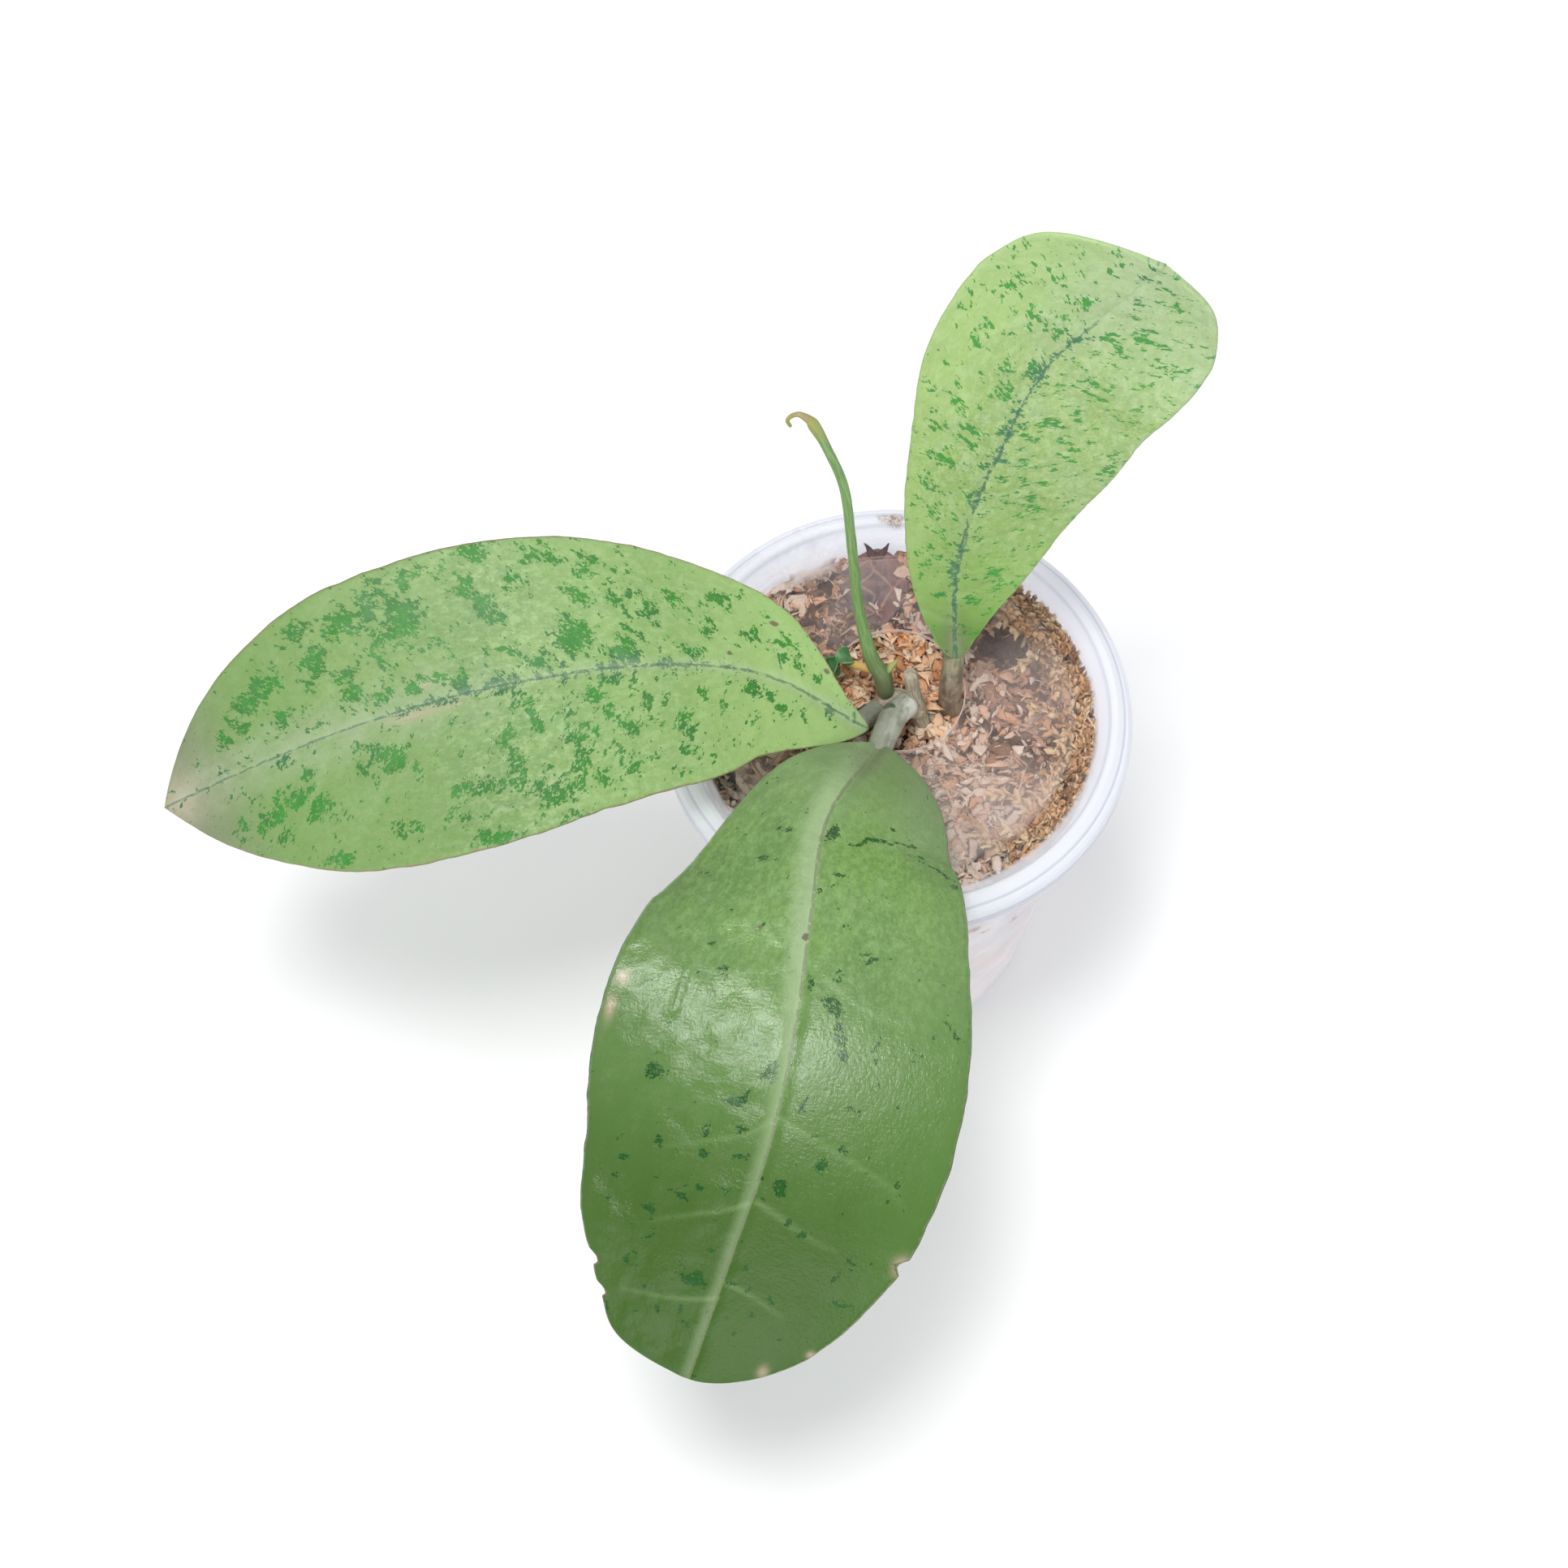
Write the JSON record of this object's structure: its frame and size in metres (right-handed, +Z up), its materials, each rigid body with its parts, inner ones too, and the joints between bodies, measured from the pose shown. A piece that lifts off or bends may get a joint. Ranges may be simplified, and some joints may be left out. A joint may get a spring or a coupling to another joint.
{
  "type": "potted hoya plant",
  "caption": "Hoya cutting with thick speckled leaves and a thin hooked shoot, rooted in husk chips in a clear plastic cup whose lid has a round hole.",
  "frame": {"origin": "centre of the underside of the cup's base, on the surface that the plant stands on", "axes": "+Z up along the cup's axis; -Y towards the viewer, the way the front leaf points; +X to the viewer's right, the left leaf points along -X"},
  "size_m": [0.1984, 0.1882, 0.2166],
  "materials": {
    "clear_cup": "satin",
    "clear_lid": "gloss",
    "husk": "matte",
    "dead_leaf": "matte",
    "bark": "matte",
    "speckled_leaf": "satin",
    "glossy_leaf": "gloss",
    "bright_leaf": "satin",
    "green_shoot": "satin",
    "dark_young_leaf": "satin"
  },
  "bodies": {
    "root": {"cup": "clear_cup", "lid": "clear_lid", "growing_medium": "husk", "dry_leaf": "dead_leaf", "stem": "bark", "leaf_left": "speckled_leaf", "leaf_front": "glossy_leaf", "leaf_back": "bright_leaf", "new_shoot": "green_shoot", "young_leaf": "dark_young_leaf"}
  },
  "joints": []
}
